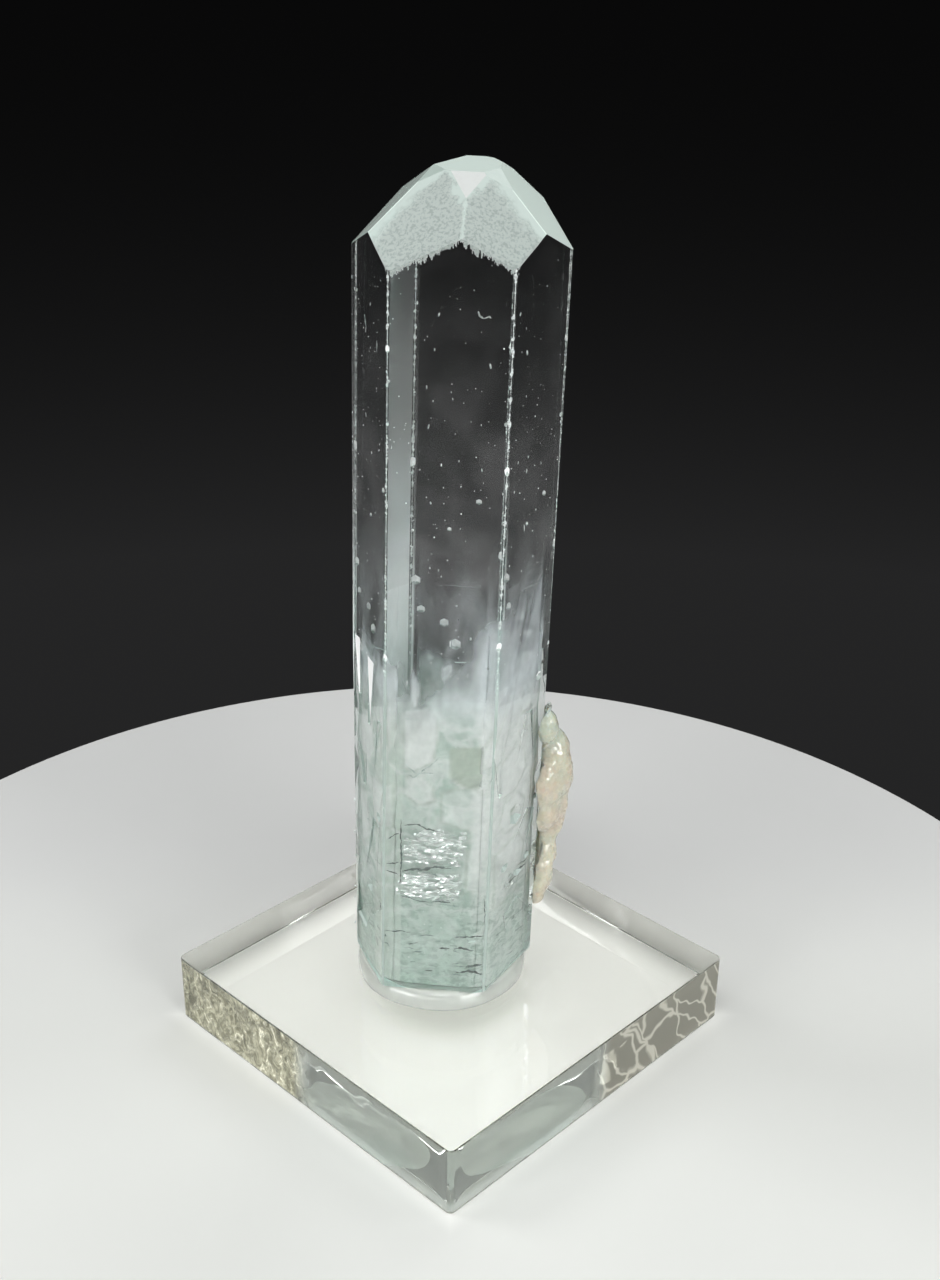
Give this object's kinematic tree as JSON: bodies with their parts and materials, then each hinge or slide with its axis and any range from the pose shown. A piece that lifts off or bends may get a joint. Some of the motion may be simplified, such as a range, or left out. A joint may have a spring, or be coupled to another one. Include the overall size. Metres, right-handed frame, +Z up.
{
  "type": "aquamarine crystal",
  "caption": "Tall clear prismatic beryl crystal with a frosted faceted tip and a feldspar crust low on its flank, fixed upright by clear adhesive on a square acrylic block.",
  "frame": {"origin": "centre of the acrylic base's underside", "axes": "+Z up, X and Y along the base's sides; the crystal's broad front face looks towards the corner at -X, -Y"},
  "size_m": [0.0508, 0.0508, 0.1122],
  "materials": {
    "aquamarine": "clear pale aqua beryl, bright polished prism faces, frosted tip faces, veils and fractures inside towards the foot",
    "feldspar": "waxy cream to beige-pink feldspar, smooth rounded lumps with a soft gloss",
    "clear_adhesive": "clear set adhesive, glossy, slightly milky",
    "acrylic": "clear cast acrylic with polished faces and edges"
  },
  "bodies": {
    "root": {"aquamarine_crystal": "aquamarine", "feldspar_crust": "feldspar", "adhesive_pad": "clear_adhesive", "acrylic_base": "acrylic"}
  },
  "joints": []
}
